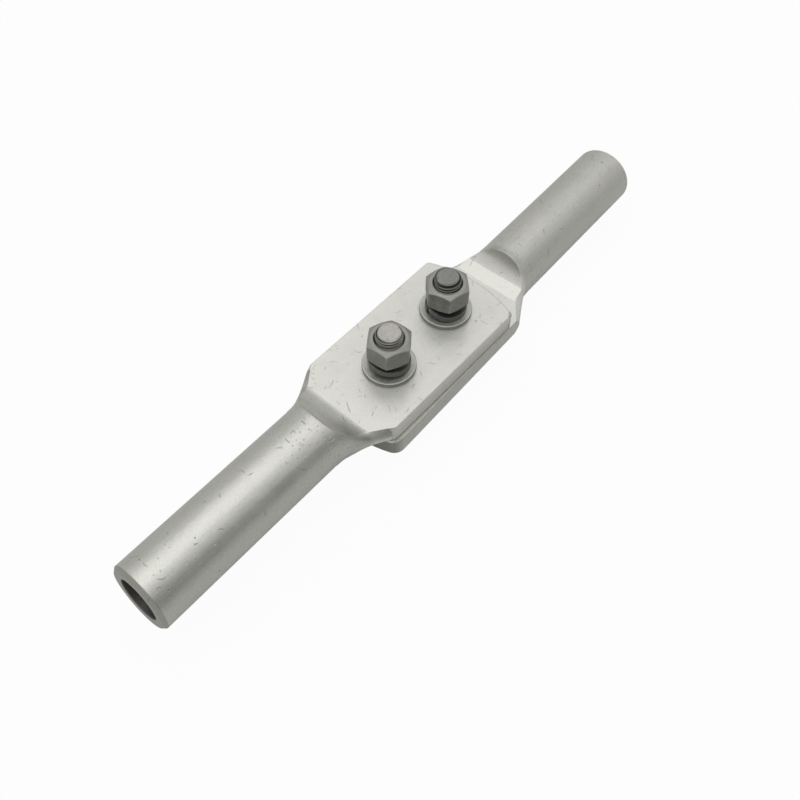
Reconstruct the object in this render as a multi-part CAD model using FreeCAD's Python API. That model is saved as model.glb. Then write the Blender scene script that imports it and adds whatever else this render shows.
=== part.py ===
import FreeCAD, Part
import math
import os

from FreeCAD import Placement, Rotation, Vector

# Bolted jumper connector: two tube terminals, each pressed into a flat flag,
# clamped flag on flag by two bolts with washers, spring washers and nuts.
# Lengths are millimetres and angles are degrees.

# Tube that each terminal is made from
barrel_radius = 15.0
barrel_reach = 157.2
bore_radius = 9.5
bore_depth = 90.0
rim_chamfer = 1.4
bore_chamfer = 0.5

# How far each tube's end is sawn out of square, longer on the mating side
near_mouth_tilt = 4.7
far_mouth_tilt = 0.0

# Inside, the bore closes down to a slit
slit_half_gap = 0.3
slit_half_width = 12.5
closing_length = 9.5

# Pressed flag
flag_thickness = 9.0
flag_width = 49.2
near_flag_reach = 42.8
far_flag_reach = 48.6
end_bow_radius = 63.0
near_corner_radius = 2.0
far_corner_radius = 5.5
edge_break = 0.5

# Flare between the tube and the flag, seen from above
flare_start = 61.5
flare_slope = 0.56
flare_softness = 2.5
neck_length = 5.5
side_bulge_at_flag = 1.4
side_bulge_at_crease = 3.8
crown_length = 10.0
sections_in_flare = 14

# Outer side of the flare: one hollow curve from the flag up to the tube
crease = 50.8
outer_cove_radius = 17.2
outer_cove_start_angle = 7.0
outer_cove_end_angle = 72.0

# Mating side of the flare: a shallow ramp, then a steep hollow
ramp_run = 7.4
ramp_angle = 12.0
inner_cove_radius = 16.2
inner_cove_start_angle = 36.0
inner_cove_end_angle = 77.0

# Bolts
bolt_spacing = 40.0
bolt_radius = 6.0
near_bolt_length = 43.7
far_bolt_length = 43.0
bolt_end_chamfer = 1.6
bolt_end_rise = 1.0
hex_across_flats = 17.75
head_height = 7.5
hex_crown_angle = 30.0
hex_crown_margin = 0.9

# Nuts
nut_height = 10.6
nut_thread_gap = 0.05
nut_mouth_depth = 0.6

# Flat washers
washer_radius = 11.8
washer_bore_radius = 6.5
washer_thickness = 2.5
washer_edge_break = 0.3

# Spring washers, split rings of square section that climb clockwise from the low end to
# the high end and aren't squeezed flat. Each one lies flat up to a share of its turn and
# then climbs, the steeper at first the larger its steepness.
spring_bore_radius = 6.25
spring_section = 3.1
spring_seat_gap = 0.04
near_spring_height = 6.5
far_spring_height = 5.8
spring_split_angle = 8.0
near_split_bearing = 12.0
far_split_bearing = 158.0
near_climb_start = 0.25
far_climb_start = 0.84
near_climb_steepness = 3.0
far_climb_steepness = 1.0
climb_softness = 0.03
points_along_spring = 44

# Bearing of one corner of each hexagon
near_nut_bearing = -145.0
far_nut_bearing = -134.5
near_head_bearing = 8.0
far_head_bearing = 22.0

# Play of the bolts in their holes, and the share of it that each bolt takes up sideways.
# It lets the far terminal lie a little out of line with the near one. The near flag's
# holes are drilled slightly off its middle line.
hole_play = 1.25
near_holes_off_middle = -0.4
near_bolt_in_near_flag = -0.96
far_bolt_in_near_flag = 0.0
near_hole_past_near_bolt = -0.19
far_hole_past_far_bolt = -0.47

# Sizes that follow
half_flag = flag_width / 2
mid_height = flag_thickness / 2
half_spacing = bolt_spacing / 2
hole_radius = bolt_radius + hole_play
near_bolt_y = near_holes_off_middle + near_bolt_in_near_flag * hole_play
far_bolt_y = near_holes_off_middle + far_bolt_in_near_flag * hole_play
far_flag_near_hole_y = near_bolt_y + near_hole_past_near_bolt * hole_play
far_flag_far_hole_y = far_bolt_y + far_hole_past_far_bolt * hole_play
far_turn = math.degrees(math.asin((far_flag_far_hole_y - far_flag_near_hole_y) / bolt_spacing))
far_shift_y = (far_flag_near_hole_y + far_flag_far_hole_y) / 2
neck = flare_start + neck_length
hex_corner_radius = hex_across_flats / 2 / math.cos(math.radians(30))
overshoot = 2.0
mouth_slant = 2 * barrel_radius * math.tan(math.radians(max(near_mouth_tilt, far_mouth_tilt)))
tube_end = barrel_reach + mouth_slant + overshoot
flare_end = flare_start - (half_flag + side_bulge_at_flag + overshoot - barrel_radius) / flare_slope

X_AXIS = Vector(1, 0, 0)
Y_AXIS = Vector(0, 1, 0)
Z_AXIS = Vector(0, 0, 1)
ACROSS_X = Rotation(Y_AXIS, Z_AXIS, X_AXIS, "ZXY")


def turned_profile(points):
    """Solid turned about Z from (radius, height) points."""
    corners = [Vector(radius, 0, height) for radius, height in points]
    outline = Part.makePolygon(corners + [corners[0]])
    return Part.Face(outline).revolve(Vector(), Z_AXIS, 360)


# A terminal is modelled by itself: X runs from the middle between the bolts to the
# tube's mouth, the mating face is Z = 0 and the outer face is Z = flag_thickness.


def flare_half_width(along):
    """Half width of the flattened tube before its sides are trimmed."""
    ahead = flare_start - along
    return barrel_radius + flare_slope * (ahead + math.hypot(ahead, flare_softness)) / 2


def flare_half_height(along):
    """Half height of the oval that gives the flare its rounded sides."""
    width = flare_half_width(min(along, crease))
    toward_flag = max(crease - along, 0) / (crease - flare_end)
    bulge = side_bulge_at_crease + (side_bulge_at_flag - side_bulge_at_crease) * toward_flag
    oval = mid_height / math.sqrt(1 - (1 - bulge / width) ** 2)
    toward_tube = min(max(along - crease, 0) / crown_length, 1)
    return oval + (barrel_radius - oval) * math.sin(toward_tube * math.pi / 2) ** 2


def oval_section(along, half_width, half_height):
    """Closed oval across the terminal, centred on the tube's axis."""
    wire = Part.Wire(Part.Ellipse(Vector(), half_width, half_height).toShape())
    wire.Placement = Placement(Vector(along, 0, mid_height), ACROSS_X)
    return wire


def flare_solid():
    """Oval tube that widens from the barrel to beyond the flag's sides."""
    wires = []
    for step in range(sections_in_flare - 1):
        along = flare_end + (neck - flare_end) * step / (sections_in_flare - 1)
        wires.append(oval_section(along, flare_half_width(along), flare_half_height(along)))
    wires.append(oval_section(neck, barrel_radius, barrel_radius))
    return Part.makeLoft(wires, True)


def barrel_solid(mouth_tilt):
    """Round part of the terminal, sawn off at the mouth, with its chamfered rim."""
    barrel = Part.makeCylinder(barrel_radius, tube_end - neck, Vector(neck, 0, mid_height), X_AXIS)
    size = 2 * tube_end
    kept_side = Part.makeBox(size, size, size, Vector(-size, -size / 2, -size / 2))
    top_of_mouth = Vector(barrel_reach, 0, mid_height + barrel_radius)
    kept_side.Placement = Placement(top_of_mouth, Rotation(Y_AXIS, -mouth_tilt))
    barrel = barrel.common(kept_side)
    return barrel.makeChamfer(rim_chamfer, mouth_edges(barrel, mouth_tilt))


def mouth_edges(solid, mouth_tilt):
    """Edges that lie in the sawn end of the tube."""
    outward = Vector(math.cos(math.radians(mouth_tilt)), 0, math.sin(math.radians(mouth_tilt)))
    top_of_mouth = Vector(barrel_reach, 0, mid_height + barrel_radius)
    edges = []
    for edge in solid.Edges:
        points = edge.discretize(5)
        if all(abs((point - top_of_mouth).dot(outward)) < 0.001 for point in points):
            edges.append(edge)
    return edges


def bore_solid():
    """Round bore, and the wedge in which it closes."""
    floor = barrel_reach - bore_depth
    bore = Part.makeCylinder(bore_radius, tube_end - floor, Vector(floor, 0, mid_height), X_AXIS)
    wide_end = oval_section(floor, bore_radius, bore_radius)
    slit_end = oval_section(floor - closing_length, slit_half_width, slit_half_gap)
    return bore.fuse(Part.makeLoft([slit_end, wide_end], True))


def plan_prism(reach, corner_radius):
    """Upright prism with the bowed end, rounded corners and milled sides."""
    bow_center = end_bow_radius - reach
    corner_x = bow_center - math.sqrt(end_bow_radius ** 2 - half_flag ** 2)
    bottom = -barrel_radius - overshoot
    first = Vector(corner_x, -half_flag, bottom)
    second = Vector(corner_x, half_flag, bottom)
    third = Vector(tube_end, half_flag, bottom)
    fourth = Vector(tube_end, -half_flag, bottom)
    bow = Part.Arc(first, Vector(-reach, 0, bottom), second).toShape()
    sides = Part.makePolygon([second, third, fourth, first])
    outline = Part.Wire([bow] + sides.Edges)
    prism = Part.Face(outline).extrude(Z_AXIS * (2 * (barrel_radius + overshoot) + flag_thickness))
    corners = []
    for edge in prism.Edges:
        upright = abs(edge.tangentAt(edge.FirstParameter).z) > 0.9
        if upright and edge.CenterOfMass.x < 0:
            corners.append(edge)
    return prism.makeFillet(corner_radius, corners)


def cove_points(start, radius, start_angle, end_angle):
    """Start, middle and end of a hollow curve, as (along, rise) points."""
    points = []
    for angle in (start_angle, (start_angle + end_angle) / 2, end_angle):
        along = radius * (math.sin(math.radians(angle)) - math.sin(math.radians(start_angle)))
        rise = radius * (math.cos(math.radians(start_angle)) - math.cos(math.radians(angle)))
        points.append((start[0] + along, start[1] + rise))
    return points


def press_prism(reach):
    """Prism along Y between the two press faces, open around the barrel."""
    outer = cove_points((crease, 0), outer_cove_radius, outer_cove_start_angle, outer_cove_end_angle)
    ramp_end = (crease + ramp_run, ramp_run * math.tan(math.radians(ramp_angle)))
    inner = cove_points(ramp_end, inner_cove_radius, inner_cove_start_angle, inner_cove_end_angle)
    side = -half_flag - side_bulge_at_flag - 2 * overshoot
    clear = barrel_radius - mid_height + overshoot

    def outer_point(along, rise):
        return Vector(along, side, flag_thickness + rise)

    def inner_point(along, rise):
        return Vector(along, side, -rise)

    flag_end = -reach - overshoot
    outer_cove = Part.Arc(*[outer_point(*point) for point in outer]).toShape()
    inner_cove = Part.Arc(*[inner_point(*point) for point in inner]).toShape()
    around_tube = [outer_point(*outer[2]), outer_point(outer[2][0], clear), outer_point(tube_end, clear)]
    around_tube += [inner_point(tube_end, clear), inner_point(inner[2][0], clear), inner_point(*inner[2])]
    around_flag = [inner_point(*ramp_end), inner_point(crease, 0), inner_point(flag_end, 0)]
    around_flag += [outer_point(flag_end, 0), outer_point(crease, 0)]
    edges = [outer_cove, inner_cove]
    edges += Part.makePolygon(around_tube).Edges
    edges += Part.makePolygon(around_flag).Edges
    outline = Part.Wire(Part.__sortEdges__(edges))
    return Part.Face(outline).extrude(Y_AXIS * (-2 * side))


def break_flag_edges(solid, reach):
    """Small chamfer around the flag's two faces, where the sides are milled."""
    edges = []
    for edge in solid.Edges:
        box = edge.BoundBox
        on_face = box.ZLength < 0.01 and min(abs(box.ZMin), abs(box.ZMin - flag_thickness)) < 0.01
        on_side = min(abs(box.YMin), abs(box.YMax)) > half_flag - 0.01
        on_end = box.XMax < near_flag_reach - reach - half_spacing
        if on_face and (on_side or on_end):
            edges.append(edge)
    return solid.makeChamfer(edge_break, edges)


def terminal(reach, corner_radius, holes_off_middle, mouth_tilt):
    """One tube pressed into a flag, drilled for the two bolts."""
    flag = Part.makeBox(reach + overshoot + flare_end, flag_width, flag_thickness)
    flag.translate(Vector(-reach - overshoot, -half_flag, 0))
    solid = flag.fuse([flare_solid(), barrel_solid(mouth_tilt)])
    solid = solid.common(press_prism(reach))
    solid = solid.common(plan_prism(reach, corner_radius))
    solid = solid.removeSplitter()
    solid = break_flag_edges(solid, reach)
    solid = solid.cut(bore_solid())
    inner_edge = min(mouth_edges(solid, mouth_tilt), key=lambda edge: edge.Length)
    solid = solid.makeChamfer(bore_chamfer, [inner_edge])
    for along in (-half_spacing, half_spacing):
        hole_foot = Vector(along, holes_off_middle, -overshoot)
        solid = solid.cut(Part.makeCylinder(hole_radius, flag_thickness + 2 * overshoot, hole_foot))
    return solid.Solids[0]


# Fasteners are modelled upright on the Z axis, with their lower end at Z = 0.


def hexagon(height, crowned_below, crowned_above):
    """Hexagonal block whose corners are turned off below, above or on both sides."""
    points = []
    for step in range(7):
        angle = math.radians(60 * step)
        points.append(Vector(hex_corner_radius * math.cos(angle), hex_corner_radius * math.sin(angle), 0))
    block = Part.Face(Part.makePolygon(points)).extrude(Z_AXIS * height)
    flat = hex_across_flats / 2 - hex_crown_margin
    wide = hex_corner_radius + overshoot
    drop = (wide - flat) * math.tan(math.radians(hex_crown_angle))
    envelope = [(0, 0)]
    envelope += [(flat, 0), (wide, drop)] if crowned_below else [(wide, 0)]
    envelope += [(wide, height - drop), (flat, height)] if crowned_above else [(wide, height)]
    envelope += [(0, height)]
    return block.common(turned_profile(envelope)).Solids[0]


def bolt(length):
    """Hexagon bolt, head down, its thread as a plain rod."""
    head = hexagon(head_height, True, False)
    tip = head_height + length
    end_radius = bolt_radius - bolt_end_chamfer
    points = [(0, head_height - overshoot), (bolt_radius, head_height - overshoot)]
    points += [(bolt_radius, tip - bolt_end_rise), (end_radius, tip), (0, tip)]
    return head.fuse(turned_profile(points)).removeSplitter().Solids[0]


def nut():
    """Hexagon nut with countersunk mouths."""
    thread = bolt_radius + nut_thread_gap
    mouth = thread + nut_mouth_depth
    points = [(0, 0), (mouth, 0), (thread, nut_mouth_depth), (thread, nut_height - nut_mouth_depth)]
    points += [(mouth, nut_height), (0, nut_height)]
    return hexagon(nut_height, True, True).cut(turned_profile(points)).Solids[0]


def flat_washer():
    """Plain washer with softened outer edges."""
    rim = washer_radius - washer_edge_break
    points = [(washer_bore_radius, 0), (rim, 0), (washer_radius, washer_edge_break)]
    points += [(washer_radius, washer_thickness - washer_edge_break), (rim, washer_thickness)]
    points += [(washer_bore_radius, washer_thickness)]
    return turned_profile(points)


def spring_washer(height, climb_start, steepness):
    """Split ring, its square section swept along a path that lies flat and then climbs."""
    rise = height - spring_section - 2 * spring_seat_gap
    middle_radius = spring_bore_radius + spring_section / 2
    path = []
    for step in range(points_along_spring + 1):
        turned = step / points_along_spring
        past_start = turned - climb_start
        share = min((past_start + math.hypot(past_start, climb_softness)) / 2 / (1 - climb_start), 1)
        foot = spring_seat_gap + rise * (1 - (1 - share) ** steepness)
        bearing = -math.radians(spring_split_angle / 2 + (360 - spring_split_angle) * turned)
        path.append(Vector(middle_radius * math.cos(bearing), middle_radius * math.sin(bearing), foot))
    curve = Part.BSplineCurve()
    curve.interpolate(path)
    outward = Vector(path[0].x, path[0].y, 0).normalize() * (spring_section / 2)
    upward = Z_AXIS * spring_section
    corners = [path[0] - outward, path[0] + outward, path[0] + outward + upward, path[0] - outward + upward]
    sweep = Part.BRepOffsetAPI.MakePipeShell(Part.Wire(curve.toShape()))
    sweep.setBiNormalMode(Z_AXIS)
    sweep.add(Part.makePolygon(corners + [corners[0]]))
    sweep.build()
    sweep.makeSolid()
    return sweep.shape()


def stand(shape, x, y, z, bearing):
    """Turn an upright shape about its axis and stand it in its place."""
    shape.Placement = Placement(Vector(x, y, z), Rotation(Z_AXIS, bearing))
    return shape


def fastener_set(side, x, y, bolt_length, spring, spring_height, nut_bearing, head_bearing, split_bearing):
    """The pieces on one bolt, from the head below to the nut above."""
    head_washer_z = -flag_thickness - washer_thickness
    washer_z = flag_thickness
    spring_z = washer_z + washer_thickness
    nut_z = spring_z + spring_height
    return {
        side + "_bolt": stand(bolt(bolt_length), x, y, head_washer_z - head_height, head_bearing),
        side + "_head_washer": stand(flat_washer(), x, y, head_washer_z, 0),
        side + "_flat_washer": stand(flat_washer(), x, y, washer_z, 0),
        side + "_spring_washer": stand(spring, x, y, spring_z, split_bearing),
        side + "_nut": stand(nut(), x, y, nut_z, nut_bearing),
    }


# The near terminal lies on top and points to -X. The far one lies below, upside down,
# points to +X and is turned by what the play of the holes allows.
near_terminal = terminal(near_flag_reach, near_corner_radius, -near_holes_off_middle, near_mouth_tilt)
near_terminal.Placement = Placement(Vector(), Rotation(Z_AXIS, 180))
far_terminal = terminal(far_flag_reach, far_corner_radius, 0, far_mouth_tilt)
upside_down = Rotation(Z_AXIS, far_turn).multiply(Rotation(X_AXIS, 180))
far_terminal.Placement = Placement(Vector(0, far_shift_y, 0), upside_down)

pieces = {"near_terminal": near_terminal, "far_terminal": far_terminal}
near_spring = spring_washer(near_spring_height, near_climb_start, near_climb_steepness)
far_spring = spring_washer(far_spring_height, far_climb_start, far_climb_steepness)
pieces.update(fastener_set("near", -half_spacing, near_bolt_y, near_bolt_length, near_spring,
                           near_spring_height, near_nut_bearing, near_head_bearing, near_split_bearing))
pieces.update(fastener_set("far", half_spacing, far_bolt_y, far_bolt_length, far_spring,
                           far_spring_height, far_nut_bearing, far_head_bearing, far_split_bearing))

# The origin is under the middle of the whole connector, at the height of its lowest point.
whole = Part.makeCompound(list(pieces.values())).optimalBoundingBox(False, False)
to_origin = Vector(-whole.Center.x, -whole.Center.y, -whole.ZMin)

os.makedirs("parts", exist_ok=True)
for name, shape in pieces.items():
    shape.translate(to_origin)
    shape.exportStep("parts/" + name + ".step")
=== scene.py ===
import math

import bmesh
import bpy
from mathutils import Euler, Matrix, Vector


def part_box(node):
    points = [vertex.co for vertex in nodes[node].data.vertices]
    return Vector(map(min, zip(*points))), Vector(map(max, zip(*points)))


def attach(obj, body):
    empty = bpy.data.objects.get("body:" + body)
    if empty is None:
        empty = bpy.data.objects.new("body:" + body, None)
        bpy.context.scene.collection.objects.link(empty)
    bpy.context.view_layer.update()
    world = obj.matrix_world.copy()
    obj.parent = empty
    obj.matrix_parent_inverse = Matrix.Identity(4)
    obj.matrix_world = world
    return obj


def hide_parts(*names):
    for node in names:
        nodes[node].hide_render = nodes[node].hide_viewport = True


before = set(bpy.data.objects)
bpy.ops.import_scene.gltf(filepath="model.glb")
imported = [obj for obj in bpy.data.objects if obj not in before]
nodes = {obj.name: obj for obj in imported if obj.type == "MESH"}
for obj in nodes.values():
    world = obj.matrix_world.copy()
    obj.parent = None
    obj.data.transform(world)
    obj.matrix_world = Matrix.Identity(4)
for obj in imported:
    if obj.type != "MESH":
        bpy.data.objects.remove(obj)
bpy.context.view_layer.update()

MM = 0.001
SIDES = ("near", "far")


# Camera, where the photograph was taken from

CAMERA_PLACE = (-0.184356, -0.143977, 0.326122)
CAMERA_TILT = (35.2065, 0.88, -48.1669)
CAMERA_ROLL = -0.15
SENSOR_WIDTH = 36.0
LENS = 38.70
SHIFT = (0.0368, -0.0214)
NEAREST_SEEN = 0.01

camera_data = bpy.data.cameras.new("camera")
camera_data.sensor_width = SENSOR_WIDTH
camera_data.lens = LENS
camera_data.shift_x, camera_data.shift_y = SHIFT
camera_data.clip_start = NEAREST_SEEN
camera = bpy.data.objects.new("camera", camera_data)
camera.location = CAMERA_PLACE
camera.rotation_euler = Euler([math.radians(angle) for angle in CAMERA_TILT])
camera.rotation_euler.rotate_axis("Z", math.radians(CAMERA_ROLL))
bpy.context.scene.collection.objects.link(camera)
bpy.context.scene.camera = camera
bpy.context.scene.view_settings.view_transform = "Standard"


# Shader tools

# Sockets of a Mix node that are only told apart by number when it mixes colours
MIX_FACTOR = 0
MIX_FIRST = 6
MIX_SECOND = 7
MIX_RESULT = 2


class Wire:
    """One output socket, with arithmetic that adds Math nodes."""

    def __init__(self, paint, socket):
        self.paint = paint
        self.socket = socket

    def math(self, operation, *others):
        values = dict(enumerate((self,) + others))
        return self.paint.node("Math", {"operation": operation}, values)

    def __add__(self, other):
        return self.math("ADD", other)

    def __sub__(self, other):
        return self.math("SUBTRACT", other)

    def __rsub__(self, other):
        return self.paint.node("Math", {"operation": "SUBTRACT"}, {0: other, 1: self})

    def __mul__(self, other):
        return self.math("MULTIPLY", other)

    def __truediv__(self, other):
        return self.math("DIVIDE", other)

    def __gt__(self, other):
        return self.math("GREATER_THAN", other)

    def __lt__(self, other):
        return self.math("LESS_THAN", other)

    def __abs__(self):
        return self.math("ABSOLUTE")

    __radd__ = __add__
    __rmul__ = __mul__

    def other(self, name):
        """Another output of the same node."""
        return Wire(self.paint, self.socket.node.outputs[name])

    def smooth(self, low, high):
        """0 below low and 1 above high, eased between."""
        settings = {"interpolation_type": "SMOOTHSTEP"}
        values = {"Value": self, "From Min": low, "From Max": high}
        return self.paint.node("MapRange", settings, values)

    def fade(self, low, high):
        """1 below low and 0 above high, eased between."""
        return 1 - self.smooth(low, high)

    def band(self, rise, fall):
        """1 between rise and fall, eased over the width of each."""
        return self.smooth(*rise) * self.fade(*fall)


class Paint:
    """The node tree of one material or world."""

    def __init__(self, owner):
        owner.use_nodes = True
        self.tree = owner.node_tree
        self.tree.nodes.clear()

    def node(self, kind, settings=None, values=None, output=0):
        """Adds a node with its settings and inputs, and gives one of its outputs."""
        made = self.tree.nodes.new("ShaderNode" + kind)
        for name, value in (settings or {}).items():
            setattr(made, name, value)
        for key, value in (values or {}).items():
            if isinstance(value, Wire):
                self.tree.links.new(value.socket, made.inputs[key])
            else:
                made.inputs[key].default_value = value
        return Wire(self, made.outputs[output]) if len(made.outputs) else None

    def place(self):
        return self.node("TexCoord", output="Object")

    def mapped(self, location=(0, 0, 0), scale=(1, 1, 1)):
        values = {"Vector": self.place(), "Location": location, "Scale": scale}
        return self.node("Mapping", values=values)

    def noise(self, scale, detail=3.0, roughness=0.5, vector=None, distortion=0.0):
        values = {"Vector": vector or self.place(), "Scale": scale, "Detail": detail}
        values.update({"Roughness": roughness, "Distortion": distortion})
        return self.node("TexNoise", values=values)

    def mix(self, factor, first, second):
        values = {MIX_FACTOR: factor, MIX_FIRST: first, MIX_SECOND: second}
        return self.node("Mix", {"data_type": "RGBA"}, values, output=MIX_RESULT)

    def layers(self, color, *layers):
        """Lays tints over a colour one by one, each as far as its mask says."""
        for mask, tint in layers:
            color = self.mix(mask, color, tint)
        return color

    def axes(self, vector):
        first = self.node("SeparateXYZ", values={"Vector": vector})
        return [first, first.other("Y"), first.other("Z")]

    def finish(self, shader, kind="OutputMaterial"):
        self.node(kind, values={"Surface": shader})


def metal(name, finish, *details):
    """A material whose colour, roughness, metallic share, height and depth come from finish."""
    material = bpy.data.materials.new(name)
    paint = Paint(material)
    color, roughness, metallic, height, depth = finish(paint, *details)
    bump = paint.node("Bump", values={"Height": height, "Strength": 1.0, "Distance": depth})
    values = {"Base Color": color, "Roughness": roughness, "Metallic": metallic, "Normal": bump}
    paint.finish(paint.node("BsdfPrincipled", values=values))
    return material


SPECK_WARP = 1.3
SPECK_EDGE = (0.7, 1.1)


def specks(paint, spacing, size, share, shift):
    """Small round marks: 1 inside a mark and 0 outside."""
    vector = paint.mapped(location=(shift, shift, shift))
    warp = paint.noise(SPECK_WARP / spacing, detail=1.0, vector=vector)
    cells = paint.node("TexVoronoi", values={"Vector": vector, "Scale": 1 / spacing})
    chosen = paint.axes(cells.other("Color"))[0] < share
    edge = size * (0.55 + warp * 0.9)
    return chosen * (cells / edge).fade(*SPECK_EDGE)


SHORTEST_STROKE = 0.3
STROKE_EDGE = (0.3, 1.0)
STROKE_ENDS = (0.6, 1.0)


def strokes(paint, spacing, length, width, bend, share, shift):
    """Short scratches seen from above, each in its own direction and more or less bent."""
    vector = paint.mapped(location=(shift, -shift, 0))
    settings = {"voronoi_dimensions": "2D"}
    cells = paint.node("TexVoronoi", settings, {"Vector": vector, "Scale": 1 / spacing})
    cell_color = cells.other("Color")
    turn, curl, stretch = paint.axes(cell_color)
    values = {0: vector, 1: cells.other("Position")}
    across, up, _ = paint.axes(paint.node("VectorMath", {"operation": "SUBTRACT"}, values))
    angle = turn * math.tau
    cosine, sine = angle.math("COSINE"), angle.math("SINE")
    along = across * cosine + up * sine
    beside = up * cosine - across * sine
    beside = beside + along * along * ((curl - 0.5) * bend)
    reach = (stretch * (1 - SHORTEST_STROKE) + SHORTEST_STROKE) * length
    line = (abs(beside) / width).fade(*STROKE_EDGE)
    ends = (abs(along) / reach).fade(*STROKE_ENDS)
    lot = paint.node("TexWhiteNoise", values={"Vector": cell_color}) < share
    return lot * line * ends


# Places on the part, in metres. Those along it are measured from the middle between the bolts.

MIDDLE = 0.001049
MATING_HEIGHT = 0.0195
NEAR_AXIS = (0.001127, 0.024)
FAR_AXIS = (-0.000286, 0.015)
FAR_SLOPE = 0.02126
TUBES = {"near": (NEAR_AXIS, 0.0), "far": (FAR_AXIS, FAR_SLOPE)}

BORE_SHADE = 0.0098
BORE_START = 0.068
NEAR_MOUTH = 0.1572
NEAR_MOUTH_TOP = 0.039
NEAR_MOUTH_LEAN = 0.0822
RIM_DEPTH = 0.0016

FLARE_RISE = (0.055, 0.062)
FLARE_FALL = (0.076, 0.090)
PRESSED_END = (0.0500, 0.0535)
FAR_PRESSED_EXTRA = 0.011
MILLED_SIDE = (0.02445, 0.02460)

FAR_COVE_RISE = (0.0612, 0.0640)
FAR_COVE_FALL = (0.0643, 0.0649)
FAR_COVE_START = 0.0611
FAR_COVE_STEEPNESS = 1.6
FAR_COVE_FOOT = 0.0228
FAR_BROW_START = 0.0646
FAR_BROW_FALL = (0.0655, 0.0685)
FAR_BROW_HEIGHT = (0.0262, 0.0285)

SEAM_START = 0.00004
SEAM_TOP = (0.0003, 0.0006)
SEAM_END = (0.046, 0.052)
LOWER_END_FALL = (-0.0450, -0.0385)
LOWER_FLAG_END = -0.0500
LOWER_FLAG_FOOT = 0.0090

SKIN_RISE = (0.0432, 0.0444)
SKIN_FALL = (0.0555, 0.0620)
SKIN_HEIGHT = (0.0238, 0.0258)
SKIN_THINS = (0.0450, 0.0560)

UPPER_FACE = 0.0283
UPPER_FLAG_END = 0.0440
UPPER_SIDE = (0.0241, 0.0245)
UPPER_SIDE_END = (0.043, 0.046)
UPPER_SIDE_LIT = (0.0215, 0.0280)
UPPER_SIDE_FOOT = (0.0197, 0.0225)
CORNER = (0.0378, -0.0235)
CHIP_SIZE = 0.0008
CHIP_RAGGED = 0.0026
BOW_CENTER = 0.0202
BOW_RIM = (0.0625, 0.0629)
BOW_RAGGED = 0.0012

BOLT_OFFSET = 0.020
BOLT_Y = (-0.000473, 0.000727)
BOLT_TIP = {"near": 0.0517, "far": 0.0510}
SHAFT_BELOW_TIP = 0.0007
GROOVE_BELOW_TIP = 0.00045
GROOVE_RADIUS = (0.00528, 0.00572)
NUT_TOP = (0.0481, 0.0474)
NUT_CORNER = (0.00965, 0.01010)
NUT_CROWN_RADIUS = 0.007975
NUT_CROWN_SLOPE = 0.577
NUT_CROWN_EDGE = (-0.00035, -0.00015)
WASHER_RIM_RISE = (0.01115, 0.01145)
WASHER_RIM_FALL = (0.01160, 0.01170)
WASHER_SIDE = (0.01164, 0.01176)

# How much of the surface's direction is up or down, from 0 on a side to 1 on a level face

SIDEWAYS = (0.3, 0.6)
SCRATCHED_FACES = (0.30, 0.55)
SKIN_FACES = (0.78, 0.93)
LEVEL_FACE = 0.9


def squared(first, second):
    """Squared distance of a point that lies first one way and second the other."""
    return first * first + second * second


def off_bolt(paint):
    """Distance from the axis of the bolt on the same side of the middle."""
    along, across, _ = paint.axes(paint.place())
    along = along - MIDDLE
    across = across - BOLT_Y[0] - (along > 0.0) * (BOLT_Y[1] - BOLT_Y[0])
    return squared(abs(along) - BOLT_OFFSET, across).math("SQRT")


# Aluminium of the two terminals

STRETCH_ALONG = (0.03, 1.0, 1.0)
SCRATCHES = (
    {"spacing": 0.011, "length": 0.0026, "width": 0.00020, "bend": 500, "share": 0.58, "shift": 0.07},
    {"spacing": 0.007, "length": 0.0014, "width": 0.00016, "bend": 900, "share": 0.42, "shift": 0.77},
    {"spacing": 0.024, "length": 0.0042, "width": 0.00024, "bend": 160, "share": 0.50, "shift": 0.23},
)
DRAWN_TONES = (0.60, 0.603, 0.562, 1), (0.76, 0.76, 0.718, 1)
PRESSED_TONES = (0.83, 0.825, 0.775, 1), (0.945, 0.94, 0.895, 1)
ROSY_TINT = (0.74, 0.70, 0.65, 1)
PIT_TONE = (0.24, 0.235, 0.215, 1)
PRESSED_SPECK_TONE = (0.40, 0.36, 0.29, 1)
SCRATCH_TONE = (0.30, 0.295, 0.27, 1)
# Dark tone for painted shade and for dark marks
DARK_MARK_AND_SHADE_TONE = (0.22, 0.22, 0.20, 1)
SAWN_TONE = (0.36, 0.355, 0.33, 1)
LOWER_END_SHADE_TONE = (0.20, 0.20, 0.185, 1)
BOW_RIM_TONE = (0.30, 0.30, 0.275, 1)
LIT_SIDE_TONE = (0.96, 0.95, 0.90, 1)
SIDE_FOOT_SHADE_TONE = (0.25, 0.25, 0.23, 1)
SEAM_SHADE_TONE = (0.10, 0.10, 0.09, 1)
BORE_SHADE_TONE = (0.17, 0.165, 0.15, 1)
ALUMINIUM_DEPTH = 0.00016


class Spot:
    """Where a point of the terminals lies, and which way its surface faces."""

    def __init__(self, paint):
        along, self.across, self.up = paint.axes(paint.place())
        self.along = along - MIDDLE
        self.reach = abs(self.along)
        self.off_middle = abs(self.across - NEAR_AXIS[0])
        self.above_mating = self.up - MATING_HEIGHT
        self.level = abs(paint.axes(paint.node("TexCoord", output="Normal"))[2])
        self.sideways = self.level.fade(*SIDEWAYS)


def inside_bores(spot):
    """Inside the bores of the two tubes, where shade is painted."""
    inside = 0.0
    for (axis, slope), outward in zip(TUBES.values(), (-1, 1)):
        off_axis = squared(spot.across - axis[0] - spot.along * slope, spot.up - axis[1])
        inside = (off_axis < BORE_SHADE ** 2) * (spot.along * outward > BORE_START) + inside
    return inside


def pressed_faces(spot):
    """The faces that the press made flat, without the flags' milled sides."""
    beyond = spot.reach - (spot.along > 0.0) * FAR_PRESSED_EXTRA
    return beyond.fade(*PRESSED_END) * spot.off_middle.fade(*MILLED_SIDE)


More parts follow.
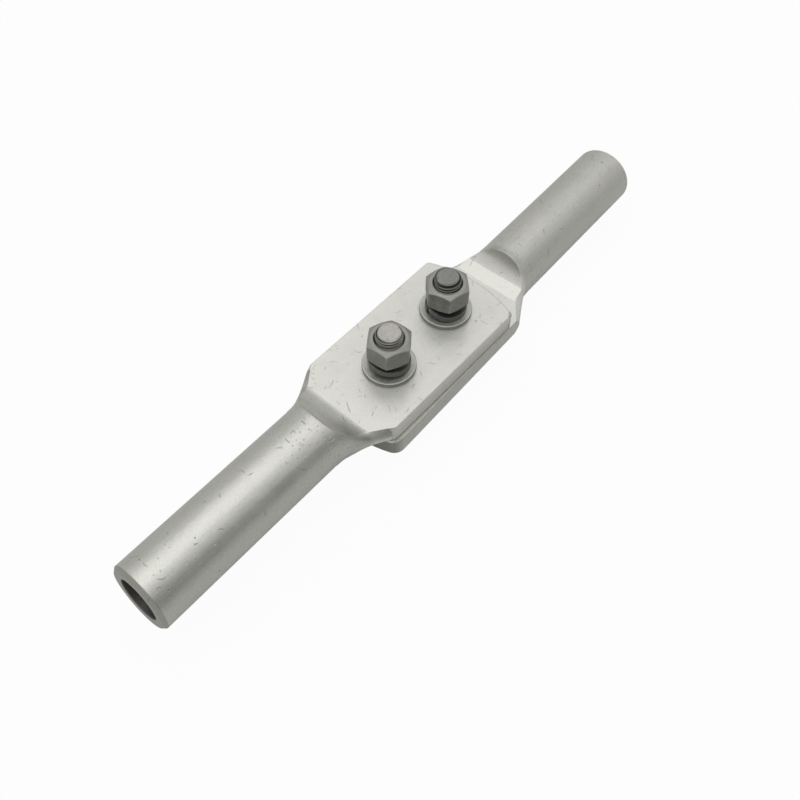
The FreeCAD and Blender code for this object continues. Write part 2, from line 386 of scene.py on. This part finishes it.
def sawn_rim(spot):
    """The sawn end of the near tube, which leans."""
    lean = (NEAR_MOUTH_TOP - spot.up) * NEAR_MOUTH_LEAN
    return (spot.along * -1 - NEAR_MOUTH - lean + RIM_DEPTH) > 0.0


def far_cove_shade(spot):
    """Painted shade in the hollow where the far flag rises to its tube."""
    line = (spot.along - FAR_COVE_START) * FAR_COVE_STEEPNESS + FAR_COVE_FOOT
    return spot.along.band(FAR_COVE_RISE, FAR_COVE_FALL) * (spot.up > line)


def far_brow_shade(spot):
    """Painted shade on the turn from that hollow to the tube's top."""
    along = (spot.along > FAR_BROW_START) * spot.along.fade(*FAR_BROW_FALL)
    return along * spot.up.smooth(*FAR_BROW_HEIGHT)


def seam_shade(spot):
    """Painted shade in the joint between the flags, seen on their sides."""
    low = (spot.above_mating > SEAM_START) * spot.above_mating.fade(*SEAM_TOP)
    return low * spot.reach.fade(*SEAM_END)


def lower_flag_end_shade(spot):
    """Painted shade on the rounded end of the lower flag, under the near tube's flare."""
    end = spot.along.fade(*LOWER_END_FALL) * (spot.up < MATING_HEIGHT) * (spot.up > LOWER_FLAG_FOOT)
    return end * spot.sideways * (spot.along > LOWER_FLAG_END)


def speckled_skin(spot):
    """The rough skin at the start of the near flare, fainter further out."""
    skin = spot.reach.band(SKIN_RISE, SKIN_FALL) * (spot.along < 0.0)
    skin = skin * spot.up.smooth(*SKIN_HEIGHT) * spot.level.fade(*SKIN_FACES)
    return skin * (1.15 - spot.reach.smooth(*SKIN_THINS) * 0.75)


def chipped_corner_shade(spot, on_upper, ragged):
    """Painted shade at the broken corner of the upper flag."""
    off_corner = squared(spot.along - CORNER[0], spot.across - CORNER[1]).math("SQRT")
    return on_upper * (off_corner < CHIP_SIZE + ragged * CHIP_RAGGED)


def bowed_rim(spot, on_upper, ragged):
    """The worn rim of the upper flag's bowed end."""
    off_center = squared(spot.along + BOW_CENTER, spot.across - NEAR_AXIS[0]).math("SQRT")
    rim = (off_center + ragged * BOW_RAGGED).smooth(*BOW_RIM) * on_upper
    return rim * (spot.level > LEVEL_FACE) * (spot.up > UPPER_FACE) * (spot.along < UPPER_FLAG_END)


def upper_flag_side(spot):
    """The long milled sides of the upper flag."""
    side = spot.off_middle.smooth(*UPPER_SIDE) * (spot.above_mating > 0.0) * spot.sideways
    return side * spot.reach.fade(*UPPER_SIDE_END)


def aluminium_finish(paint):
    """Pale drawn aluminium: faint long draw lines, soft blotches, pits and small scratches."""
    spot = Spot(paint)
    long_place = paint.mapped(scale=STRETCH_ALONG)
    draw = paint.noise(900, detail=4.0, roughness=0.6, vector=long_place)
    wide_draw = paint.noise(170, detail=2.0, vector=long_place)
    grain = paint.noise(2600, detail=3.0, roughness=0.7)
    peppered = paint.noise(1500, detail=2.0, roughness=0.6)
    ragged = paint.noise(700, detail=3.0, roughness=0.65)
    blotch = paint.noise(75, detail=4.0, roughness=0.6, distortion=0.8)
    dents = paint.noise(120, detail=1.5, roughness=0.4, distortion=0.3)
    rosy = paint.noise(55, detail=3.0, distortion=1.0).smooth(0.52, 0.72)

    pits = specks(paint, spacing=0.0062, size=0.075, share=0.14, shift=0.31)
    fine_pits = specks(paint, spacing=0.0026, size=0.12, share=0.11, shift=0.17)
    pressed_specks = specks(paint, spacing=0.0017, size=0.22, share=0.55, shift=0.63)
    pressed_specks = pressed_specks * spot.reach.band(FLARE_RISE, FLARE_FALL)
    scratches, *others = [strokes(paint, **kind) for kind in SCRATCHES]
    for other in others:
        scratches = scratches.math("MAXIMUM", other)
    scratches = scratches * spot.level.smooth(*SCRATCHED_FACES)

    streaks = (wide_draw - 0.5) * 0.45 + (draw - 0.5) * 0.32
    tone = (blotch - 0.5) * 0.5 + streaks + (grain - 0.5) * 0.8 + (peppered - 0.5) * 1.6 + 0.5
    pressed_flat = pressed_faces(spot)
    drawn, smooth = paint.mix(tone, *DRAWN_TONES), paint.mix(tone, *PRESSED_TONES)
    shaded_bore = inside_bores(spot)
    side = upper_flag_side(spot)
    on_upper = (spot.up > MATING_HEIGHT) * (spot.along > 0.0)
    color = paint.layers(
        paint.mix(pressed_flat, drawn, smooth),
        (rosy * 0.26, ROSY_TINT),
        (pits * 0.55 + fine_pits * 0.30, PIT_TONE),
        (pressed_specks * 0.45, PRESSED_SPECK_TONE),
        (scratches * (0.48 - pressed_flat * 0.22), SCRATCH_TONE),
        # painted shade in the far flag's hollow and on its brow
        (far_cove_shade(spot) * 0.46 + far_brow_shade(spot) * 0.30, DARK_MARK_AND_SHADE_TONE),
        (sawn_rim(spot) * 0.62, SAWN_TONE),
        # painted shade on the lower flag's rounded end
        (lower_flag_end_shade(spot) * 0.78, LOWER_END_SHADE_TONE),
        (speckled_skin(spot) * (0.28 + peppered * 0.55), DARK_MARK_AND_SHADE_TONE),
        # painted shade at the upper flag's broken corner
        (chipped_corner_shade(spot, on_upper, ragged) * 0.5, DARK_MARK_AND_SHADE_TONE),
        (bowed_rim(spot, on_upper, ragged) * 0.30, BOW_RIM_TONE),
        # painted highlight along the top of the upper flag's milled sides, and painted shade along their
        # foot
        (side * spot.up.smooth(*UPPER_SIDE_LIT) * 0.5, LIT_SIDE_TONE),
        (side * spot.up.fade(*UPPER_SIDE_FOOT) * 0.2, SIDE_FOOT_SHADE_TONE),
        # painted shade in the joint between the flags
        (seam_shade(spot) * 0.75, SEAM_SHADE_TONE),
        # painted shade inside the bores
        (shaded_bore, BORE_SHADE_TONE),
    )
    roughness = 0.38 + (blotch - 0.5) * 0.16 + (draw - 0.5) * 0.10 + (grain - 0.5) * 0.08
    roughness = roughness + pits * 0.2 + shaded_bore * 0.2
    metallic = 1.0 - pressed_flat * 0.45
    height = draw * 0.16 + wide_draw * 0.38 + grain * 0.16 + peppered * 0.22 + blotch * 0.6 + dents * 0.9
    height = height - pits * 0.7 - fine_pits * 0.35 - pressed_specks * 0.5 - scratches * 0.7
    return color, roughness, metallic, height, ALUMINIUM_DEPTH


# Zinc of the bolts, nuts and washers. The tones are dark, pale and stained.

SPRING_TONES = (0.11, 0.11, 0.105, 1), (0.21, 0.21, 0.20, 1), (0.26, 0.26, 0.25, 1)
WASHER_TONES = (0.46, 0.46, 0.43, 1), (0.70, 0.70, 0.66, 1), (0.74, 0.73, 0.69, 1)
NUT_TONES = (0.17, 0.172, 0.163, 1), (0.33, 0.33, 0.312, 1), (0.44, 0.43, 0.40, 1)
BOLT_TONES = {
    "near": ((0.40, 0.39, 0.365, 1), (0.68, 0.66, 0.62, 1), (0.60, 0.56, 0.51, 1)),
    "far": ((0.23, 0.232, 0.225, 1), (0.38, 0.38, 0.365, 1), (0.42, 0.42, 0.40, 1)),
}
CRUMB_TONE = (0.55, 0.55, 0.52, 1)
WASHER_RIM_HIGHLIGHT_TONE = (0.86, 0.86, 0.82, 1)
WASHER_SIDE_SHADE_TONE = (0.27, 0.275, 0.255, 1)
NUT_CORNER_WEAR_AND_HIGHLIGHT_TONE = (0.50, 0.50, 0.47, 1)
NUT_CROWN_TONE = (0.52, 0.52, 0.49, 1)
GRIME_TONE = (0.16, 0.155, 0.145, 1)
SHAFT_SHADE_TONE = (0.15, 0.15, 0.14, 1)
GROOVE_SHADE_TONE = (0.02, 0.02, 0.018, 1)
ZINC_DEPTH = 0.00010
ZINC_METALLIC = 0.9
BOLT_METALLIC = {"near": 0.85, "far": 0.9}


def zinc_finish(paint, dark, pale, stain):
    """Dull hot-dip zinc: mottled grey with a rough skin and paler rubbed spots."""
    cloud = paint.noise(420, detail=5.0, roughness=0.65)
    skin = paint.noise(2600, detail=4.0, roughness=0.7)
    rubbed = paint.noise(160, detail=2.0, distortion=0.4).smooth(0.52, 0.66)
    crumbs = specks(paint, spacing=0.0022, size=0.15, share=0.18, shift=0.41)
    mottled = paint.mix(cloud * 1.2 + skin * 0.5 - 0.35, dark, pale)
    color = paint.layers(mottled, (rubbed * 0.25, stain), (crumbs * 0.35, CRUMB_TONE))
    roughness = 0.46 + (cloud - 0.5) * 0.25 + (skin - 0.5) * 0.12
    height = cloud * 0.8 + skin * 0.35 + crumbs * 0.4
    return color, roughness, ZINC_METALLIC, height, ZINC_DEPTH


def washer_finish(paint):
    """Zinc washer: pale top, a painted highlight in patches along its rim and painted shade on its side.
    """
    color, *rest = zinc_finish(paint, *WASHER_TONES)
    off = off_bolt(paint)
    rim = off.band(WASHER_RIM_RISE, WASHER_RIM_FALL)
    rim_patches = paint.noise(260, detail=3.0).smooth(0.38, 0.62)
    # painted highlight along the rim, and painted shade on the side
    color = paint.layers(color, (rim * (0.2 + rim_patches * 0.35), WASHER_RIM_HIGHLIGHT_TONE),
                         (off.smooth(*WASHER_SIDE), WASHER_SIDE_SHADE_TONE))
    return color, *rest


def nut_finish(paint):
    """Zinc nut: mottled flats, lighter corners, partly rubbed and partly a painted highlight, and a paler
    crown.
    """
    color, *rest = zinc_finish(paint, *NUT_TONES)
    off = off_bolt(paint)
    along, _, up = paint.axes(paint.place())
    top = NUT_TOP[0] + (along > MIDDLE) * (NUT_TOP[1] - NUT_TOP[0])
    wear = paint.noise(500, detail=4.0, roughness=0.65)
    rubbed_and_lit_corner = off.smooth(*NUT_CORNER) * wear.smooth(0.42, 0.60)
    slope = (off - NUT_CROWN_RADIUS).math("MAXIMUM", 0.0) * NUT_CROWN_SLOPE
    crown = (up + slope - top).smooth(*NUT_CROWN_EDGE)
    # lighter corners, partly rubbed zinc and partly painted highlight
    color = paint.layers(color, (rubbed_and_lit_corner * 0.28, NUT_CORNER_WEAR_AND_HIGHLIGHT_TONE), (crown * 0.6, NUT_CROWN_TONE))
    return color, *rest


def bolt_finish(paint, side):
    """Zinc bolt with grime specks, painted shade on its thread below the tip and darker painted shade in
    the thread's grooves.
    """
    tones = BOLT_TONES[side]
    color, roughness, _, height, depth = zinc_finish(paint, *tones)
    flecks = paint.noise(1300, detail=3.0, roughness=0.7).smooth(0.54, 0.66)
    grime = specks(paint, spacing=0.0019, size=0.22, share=0.28, shift=0.53)
    up = paint.axes(paint.place())[2]
    above_joint = up > MATING_HEIGHT
    shaft_shade = (up < BOLT_TIP[side] - SHAFT_BELOW_TIP) * above_joint
    groove_shade = off_bolt(paint).fade(*GROOVE_RADIUS) * (up < BOLT_TIP[side] - GROOVE_BELOW_TIP) * above_joint
    # painted shade on the thread and, darker, in its grooves
    color = paint.layers(color, (flecks * 0.55, tones[1]), (grime * 0.55, GRIME_TONE),
                         (shaft_shade * 0.6, SHAFT_SHADE_TONE), (groove_shade * 0.92, GROOVE_SHADE_TONE))
    return color, roughness, BOLT_METALLIC[side], height, depth


aluminium = metal("satin_aluminium", aluminium_finish)
zinc_spring = metal("zinc_on_spring_washers", zinc_finish, *SPRING_TONES)
zinc_nut = metal("zinc_on_nuts", nut_finish)
zinc_washer = metal("zinc_on_washers", washer_finish)
zinc_bolt = {side: metal("zinc_on_" + side + "_bolt", bolt_finish, side) for side in SIDES}


# Pieces

JOIN_DISTANCE = 0.002 * MM
FLAT_ANGLE = math.radians(0.6)
ROUNDED_ANGLE = math.radians(24.0)
SHARP_ANGLE = math.radians(38)
SLIT_START = 54.0 * MM
SLIT_END = 69.0 * MM
SLIT_WIDTH = 13.2 * MM
SLIT_HEIGHT = 10.0 * MM
TUBE_RADIUS = 15.0 * MM
HELD_START = 61.0 * MM
HELD_END = 69.0 * MM
FLARE_START = 61.5 * MM
FLARE_SLOPE = 0.56
FLARE_SOFTNESS = 2.5 * MM


def fresh_mesh(name, form, material):
    """Puts a finished bmesh into the scene with weighted normals."""
    for face in form.faces:
        face.smooth = True
    for edge in form.edges:
        edge.smooth = len(edge.link_faces) == 2 and edge.calc_face_angle() < SHARP_ANGLE
    mesh = bpy.data.meshes.new(name)
    form.to_mesh(mesh)
    form.free()
    mesh.materials.append(material)
    piece = bpy.data.objects.new(name, mesh)
    bpy.context.scene.collection.objects.link(piece)
    weighted = piece.modifiers.new("flat_faces_stay_flat", "WEIGHTED_NORMAL")
    weighted.keep_sharp = True
    return piece


def merged_copy(node):
    """The node's mesh with its triangles joined, flat areas as single faces."""
    form = bmesh.new()
    form.from_mesh(nodes[node].data)
    bmesh.ops.remove_doubles(form, verts=form.verts, dist=JOIN_DISTANCE)
    bmesh.ops.dissolve_limit(form, angle_limit=FLAT_ANGLE, verts=form.verts, edges=form.edges)
    return form


def in_slit(edge, axis, slope):
    """Whether an edge lies inside, where the bore closes down to its slit."""
    for vert in edge.verts:
        along = vert.co.x - MIDDLE
        across = vert.co.y - axis[0] - slope * along
        if not SLIT_START < abs(along) < SLIT_END:
            return False
        if abs(across) > SLIT_WIDTH or abs(vert.co.z - axis[1]) > SLIT_HEIGHT:
            return False
    return True


def soften(form, width, segments, tube=None):
    """Rounds every edge that turns enough, but not those in a tube's slit, where rounding folds over."""
    edges = []
    for edge in form.edges:
        if tube and in_slit(edge, *tube):
            continue
        if len(edge.link_faces) == 2 and edge.calc_face_angle() > ROUNDED_ANGLE:
            edges.append(edge)
    bmesh.ops.bevel(form, geom=edges, offset=width, offset_type="OFFSET", affect="EDGES",
                    segments=segments, profile=0.5, material=-1, clamp_overlap=True)


def hold_to_tube(form, axis, slope):
    """Draws the skin of the flare in to an oval no higher than the tube's radius."""
    for vert in form.verts:
        along = vert.co.x - MIDDLE
        if not HELD_START < abs(along) < HELD_END:
            continue
        ahead = FLARE_START - abs(along)
        width = TUBE_RADIUS + FLARE_SLOPE * (ahead + math.hypot(ahead, FLARE_SOFTNESS)) / 2
        center = axis[0] + slope * along
        across, up = vert.co.y - center, vert.co.z - axis[1]
        outside = math.hypot(across / width, up / TUBE_RADIUS)
        if outside > 1:
            vert.co.y = center + across / outside
            vert.co.z = axis[1] + up / outside


def stand_for(piece, node, body):
    """Puts a piece in a CAD node's place and on its body."""
    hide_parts(node)
    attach(piece, body)


def softened(node, name, material, width, segments, body, tube=None):
    """A CAD piece with its edges rounded."""
    form = merged_copy(node)
    if tube:
        hold_to_tube(form, *tube)
    soften(form, width, segments, tube=tube)
    stand_for(fresh_mesh(name, form, material), node, body)


PITCH = 1.75 * MM
CREST = 5.93 * MM
ROOT = 5.05 * MM
THREAD_PROFILE = ((ROOT, -0.5), (ROOT, -0.44), (CREST, -0.07), (CREST, 0.07), (ROOT, 0.44), (ROOT, 0.5))
THREAD_JOIN = 0.001 * MM
TIP_RADIUS = 4.4 * MM
TIP_SLOPE = 0.62
STEPS_A_TURN = 48
CUT_TOLERANCE = 1e-7
BOLT_ROUNDING = 0.25 * MM


def cut_flat(form, height, keep_below):
    """Cuts a form level and closes the opening."""
    side = {"clear_outer": True} if keep_below else {"clear_inner": True}
    cut = bmesh.ops.bisect_plane(form, geom=form.verts[:] + form.edges[:] + form.faces[:],
                                 dist=CUT_TOLERANCE, plane_co=(0, 0, height), plane_no=(0, 0, 1), **side)
    rim = [part for part in cut["geom_cut"] if isinstance(part, bmesh.types.BMEdge)]
    bmesh.ops.edgeloop_fill(form, edges=rim)


def threads(center, low, tip):
    """Screw thread round the Z axis at center, from low up to a chamfered tip."""
    form = bmesh.new()
    corners = [form.verts.new((radius, 0, low + (share - 1) * PITCH)) for radius, share in THREAD_PROFILE]
    line = [form.edges.new(pair) for pair in zip(corners, corners[1:])]
    turns = math.ceil((tip - low) / PITCH) + 2
    bmesh.ops.spin(form, geom=corners + line, cent=(0, 0, 0), axis=(0, 0, 1), angle=math.tau * turns,
                   dvec=(0, 0, PITCH / STEPS_A_TURN), steps=STEPS_A_TURN * turns, use_merge=False)
    bmesh.ops.remove_doubles(form, verts=form.verts, dist=THREAD_JOIN)
    for vert in form.verts:
        limit = TIP_RADIUS + max(tip - vert.co.z, 0) / TIP_SLOPE
        reach = math.hypot(vert.co.x, vert.co.y)
        if reach > limit:
            vert.co.x *= limit / reach
            vert.co.y *= limit / reach
    cut_flat(form, low, False)
    cut_flat(form, tip, True)
    bmesh.ops.translate(form, verts=form.verts, vec=(center[0], center[1], 0))
    bmesh.ops.recalc_face_normals(form, faces=form.faces)
    return form


def add_bolt(side):
    """Head and plain shank from the CAD piece, and a real thread from the upper flag upwards."""
    node = side + "_bolt"
    low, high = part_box(node)
    center = ((low[0] + high[0]) / 2, (low[1] + high[1]) / 2)
    thread_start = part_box(side + "_flat_washer")[0][2]
    form = merged_copy(node)
    cut_flat(form, thread_start, True)
    soften(form, BOLT_ROUNDING, 2)
    upper = threads(center, thread_start, high[2])
    joined = bpy.data.meshes.new("thread")
    upper.to_mesh(joined)
    upper.free()
    form.from_mesh(joined)
    bpy.data.meshes.remove(joined)
    stand_for(fresh_mesh(side + "_threaded_bolt", form, zinc_bolt[side]), node, "connector")


for side in SIDES:
    softened(side + "_terminal", side + "_tube_terminal", aluminium, width=0.35 * MM, segments=3,
             body="connector", tube=TUBES[side])
    softened(side + "_nut", side + "_hex_nut", zinc_nut, width=0.22 * MM, segments=3,
             body=side + "_climbing")
    softened(side + "_spring_washer", side + "_split_ring", zinc_spring, width=0.22 * MM, segments=2,
             body=side + "_turning")
    softened(side + "_flat_washer", side + "_washer", zinc_washer, width=0.2 * MM, segments=2,
             body="connector")
    softened(side + "_head_washer", side + "_washer_below", zinc_washer, width=0.2 * MM, segments=2,
             body="connector")
    add_bolt(side)


# Floor, background and light

WHITE = (1, 1, 1, 1)
FLOOR_SIZE = 2.0
FLOOR_GREY = (0.56, 0.56, 0.55, 1)
FLOOR_PALE = (0.95, 0.95, 0.95, 1)
ROOM_LIGHT = 0.49
CEILING_LIGHT = 0.66
ROOM_TINT = (1, 1, 0.985, 1)
SHADE_DIRECTION = (-0.25, -0.96, 0.08)
SHADE_EDGE = (0.42, 0.95)
SHADE_DEPTH = 0.66


def backdrop_share(paint, direct, reflected):
    """The light path, and how white the backdrop is, seen directly and in metal or glass."""
    path = paint.node("LightPath")
    glossy, transmitted = path.other("Is Glossy Ray"), path.other("Is Transmission Ray")
    return path, path * direct + glossy * reflected + transmitted * reflected


def add_floor():
    """A pale floor that shows white to the camera and keeps the part's shadow."""
    form = bmesh.new()
    bmesh.ops.create_grid(form, x_segments=1, y_segments=1, size=FLOOR_SIZE)
    mesh = bpy.data.meshes.new("floor")
    form.to_mesh(mesh)
    form.free()
    floor = bpy.data.objects.new("floor", mesh)
    bpy.context.scene.collection.objects.link(floor)
    material = bpy.data.materials.new("pale_floor")
    paint = Paint(material)
    path, shown = backdrop_share(paint, 0.95, 0.18)
    grey = paint.node("BsdfDiffuse", values={"Color": FLOOR_GREY})
    pale = paint.node("BsdfDiffuse", values={"Color": FLOOR_PALE})
    matte = paint.node("MixShader", values={0: path, 1: grey, 2: pale})
    white = paint.node("Emission", values={"Color": WHITE, "Strength": 1.0})
    paint.finish(paint.node("MixShader", values={0: shown, 1: matte, 2: white}))
    mesh.materials.append(material)


def add_world():
    """A bright room, lightest overhead and darker low down behind the camera, on its right."""
    world = bpy.data.worlds.new("studio")
    bpy.context.scene.world = world
    paint = Paint(world)
    x, y, z = paint.axes(paint.node("TexCoord", output="Generated"))
    lift = z.math("MAXIMUM", 0.0)
    overhead = ROOM_LIGHT + lift * lift * lift * lift * CEILING_LIGHT
    toward_shade = x * SHADE_DIRECTION[0] + y * SHADE_DIRECTION[1] + z * SHADE_DIRECTION[2]
    studio = overhead * (1 - toward_shade.smooth(*SHADE_EDGE) * SHADE_DEPTH)
    _, shown = backdrop_share(paint, 1.0, 0.05)
    light = paint.node("Background", values={"Color": ROOM_TINT, "Strength": studio})
    white = paint.node("Background", values={"Color": WHITE, "Strength": 1.0})
    paint.finish(paint.node("MixShader", values={0: shown, 1: light, 2: white}), "OutputWorld")


def add_lamp(name, place, aim, size, power):
    """A round soft lamp."""
    data = bpy.data.lights.new(name, "AREA")
    data.shape = "DISK"
    data.size = size
    data.energy = power
    lamp = bpy.data.objects.new(name, data)
    lamp.location = place
    lamp.rotation_euler = (Vector(aim) - Vector(place)).to_track_quat("-Z", "Y").to_euler()
    bpy.context.scene.collection.objects.link(lamp)


add_floor()
add_world()
add_lamp("overhead_box", place=(0.05, 0.20, 0.90), aim=(0, 0, 0.02), size=0.7, power=0.35)
